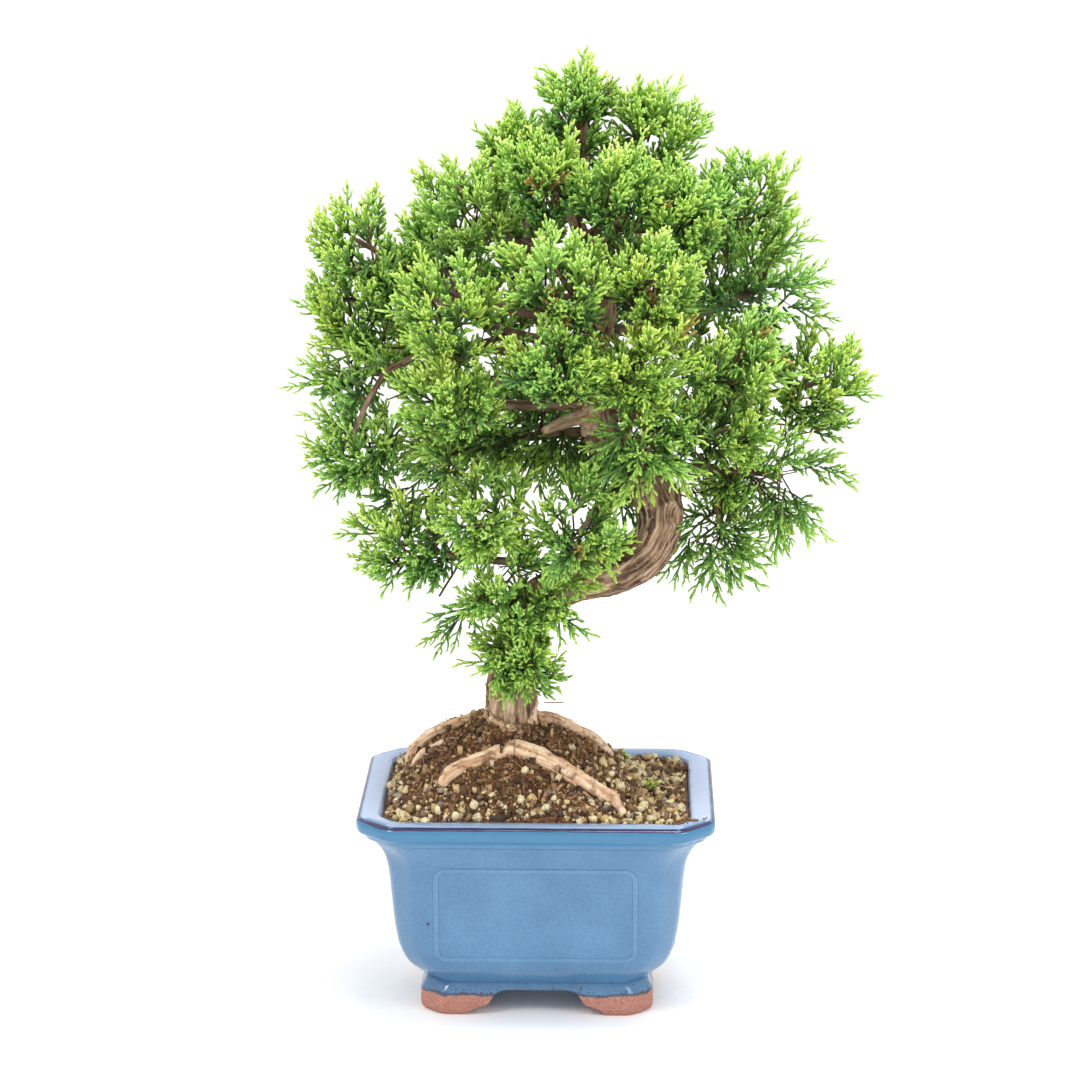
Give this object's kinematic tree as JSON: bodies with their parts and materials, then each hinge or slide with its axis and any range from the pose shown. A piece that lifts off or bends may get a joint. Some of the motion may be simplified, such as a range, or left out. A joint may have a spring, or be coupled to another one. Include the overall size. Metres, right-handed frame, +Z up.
{
  "type": "kishu juniper bonsai in a footed pot",
  "caption": "Small juniper bonsai with a curved trunk, spreading surface roots and tufted green foliage, planted in a rectangular glazed pot with indented corners and scalloped feet.",
  "frame": {"origin": "middle of the bottom of the bounding box, level with the undersides of the pot's feet", "axes": "+Z up, along the tree's height; +X along the pot's long side, to the right for a viewer in front, who is on the -Y side"},
  "size_m": [0.2606, 0.1776, 0.4198],
  "materials": {
    "pot_glaze": "gloss",
    "drain_mesh_plastic": "matte",
    "soil_mix": "matte",
    "bark": "matte",
    "foliage_green": "matte"
  },
  "bodies": {
    "root": {"pot": "pot_glaze", "drain_mesh_left": "drain_mesh_plastic", "drain_mesh_right": "drain_mesh_plastic", "soil": "soil_mix", "trunk_roots_and_branches": "bark", "foliage_apex": "foliage_green", "foliage_top_right": "foliage_green", "foliage_top_left": "foliage_green", "foliage_shoulder_left": "foliage_green", "foliage_upper_front": "foliage_green", "foliage_upper_front_left": "foliage_green", "foliage_shoulder_right": "foliage_green", "foliage_upper_front_right": "foliage_green", "foliage_outer_left_top": "foliage_green", "foliage_outer_left": "foliage_green", "foliage_front_left": "foliage_green", "foliage_front_middle": "foliage_green", "foliage_front_right": "foliage_green", "foliage_outer_right_airy": "foliage_green", "foliage_left_needles": "foliage_green", "foliage_left_low": "foliage_green", "foliage_front_left_low": "foliage_green", "foliage_front_low": "foliage_green", "foliage_front_right_low": "foliage_green", "foliage_right_middle": "foliage_green", "foliage_right_tip": "foliage_green", "foliage_right_low": "foliage_green", "foliage_right_drooping": "foliage_green", "foliage_right_hanging": "foliage_green", "foliage_over_trunk": "foliage_green", "foliage_low_left": "foliage_green", "foliage_low_front_left": "foliage_green", "foliage_low_front_right": "foliage_green", "foliage_trailing_upper": "foliage_green", "foliage_trailing_tip": "foliage_green", "foliage_inner_left": "foliage_green", "foliage_back_left_top": "foliage_green", "foliage_back_top": "foliage_green", "foliage_back_top_right": "foliage_green", "foliage_back_right_top": "foliage_green", "foliage_back_left": "foliage_green", "foliage_back_middle_left": "foliage_green", "foliage_back_middle_right": "foliage_green", "foliage_back_right": "foliage_green", "foliage_back_low_left": "foliage_green", "foliage_back_low_right": "foliage_green", "foliage_back_low": "foliage_green"}
  },
  "joints": []
}
